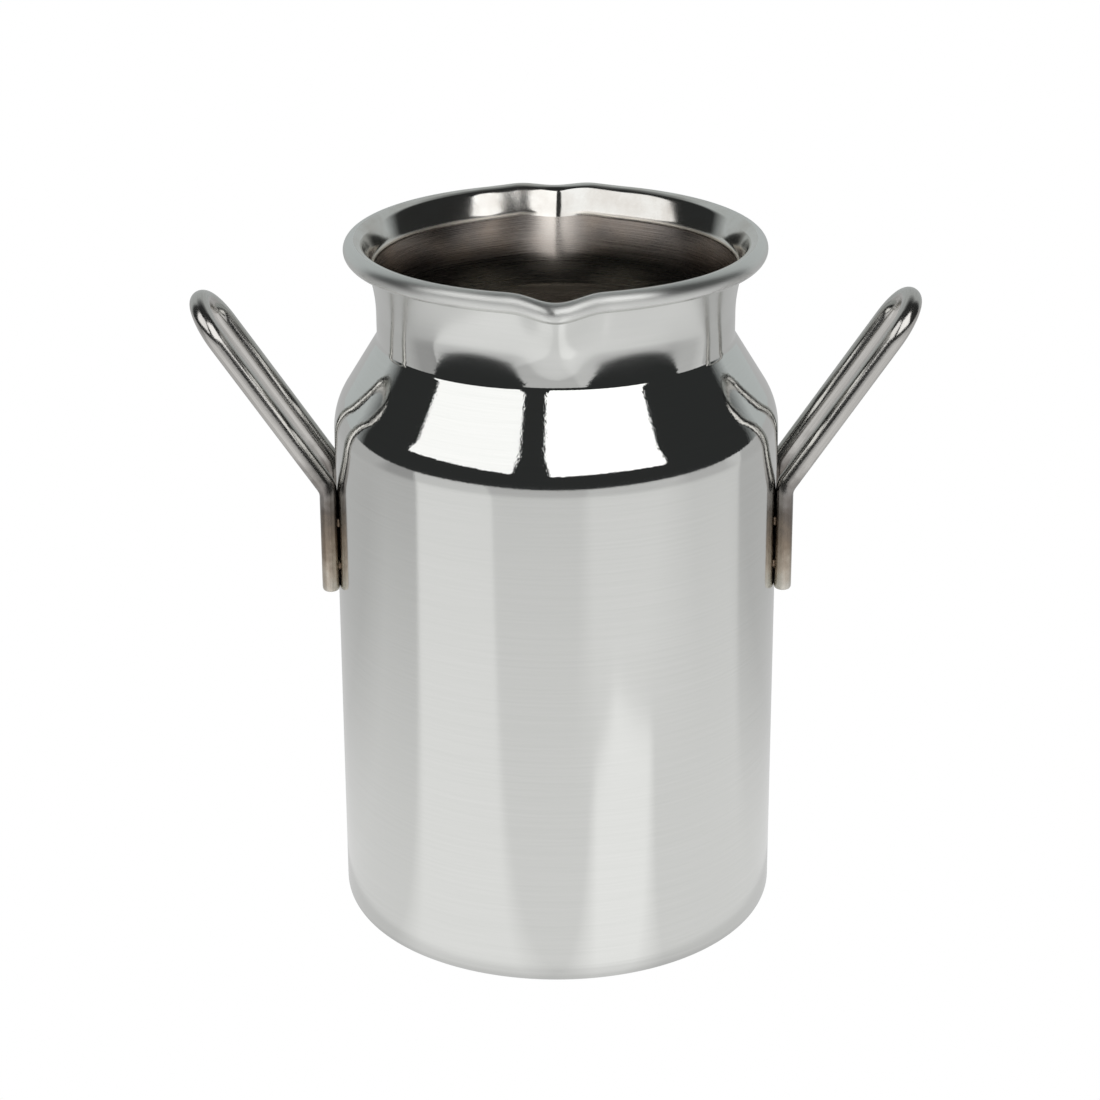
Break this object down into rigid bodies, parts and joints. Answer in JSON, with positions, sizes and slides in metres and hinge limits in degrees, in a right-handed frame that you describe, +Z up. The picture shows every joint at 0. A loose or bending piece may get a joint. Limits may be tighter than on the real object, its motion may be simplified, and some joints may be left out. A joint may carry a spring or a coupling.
{
  "type": "miniature milk can",
  "caption": "Small steel milk can with a straight body, sloping shoulder, rolled rim with opposed pour lips and a bent wire handle welded to each side.",
  "frame": {"origin": "centre of the flat base, on the axis of the body", "axes": "+Z up along the axis of the body; the pour lips point along -Y and +Y; the handles are on -X (left) and +X (right)"},
  "size_m": [0.0862, 0.053, 0.085],
  "materials": {
    "can_steel": "polished outside and on the rim, brushed inside the neck",
    "wire_steel": "polished wire, straw-brown heat tint on the legs",
    "weld_steel": "heat-tinted weld metal"
  },
  "bodies": {
    "root": {"can_body": "can_steel", "left_handle": "wire_steel", "right_handle": "wire_steel", "left_handle_welds": "weld_steel", "right_handle_welds": "weld_steel"}
  },
  "joints": []
}
